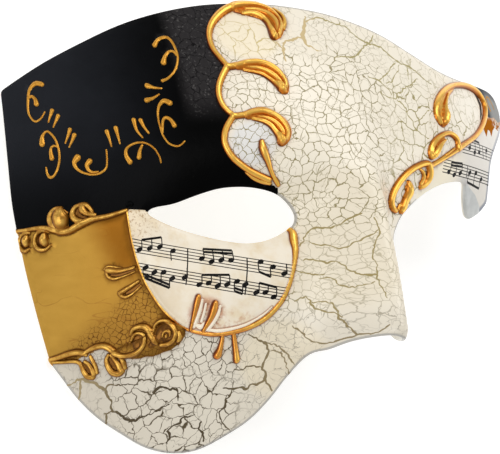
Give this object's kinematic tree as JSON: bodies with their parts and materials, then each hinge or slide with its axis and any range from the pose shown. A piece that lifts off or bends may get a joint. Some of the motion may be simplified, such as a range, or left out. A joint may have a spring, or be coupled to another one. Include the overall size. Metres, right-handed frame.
{
  "type": "masquerade mask",
  "caption": "Moulded masquerade half mask with a long cheek on one side, an eye opening, a nose and raised scrolls, lying face up on its edges.",
  "frame": {"origin": "on the surface the mask lies on, under the middle of its bounding box", "axes": "+X across the face towards the wearer's left, +Y up the face towards the forehead, +Z out of the face"},
  "size_m": [0.18, 0.1406, 0.0732],
  "materials": {
    "painted_shell": "moulded shell, painted cream with crackle, black and antique gold, with gold scrolls and printed music, all under varnish"
  },
  "bodies": {
    "root": {"mask_shell": "painted_shell"}
  },
  "joints": []
}
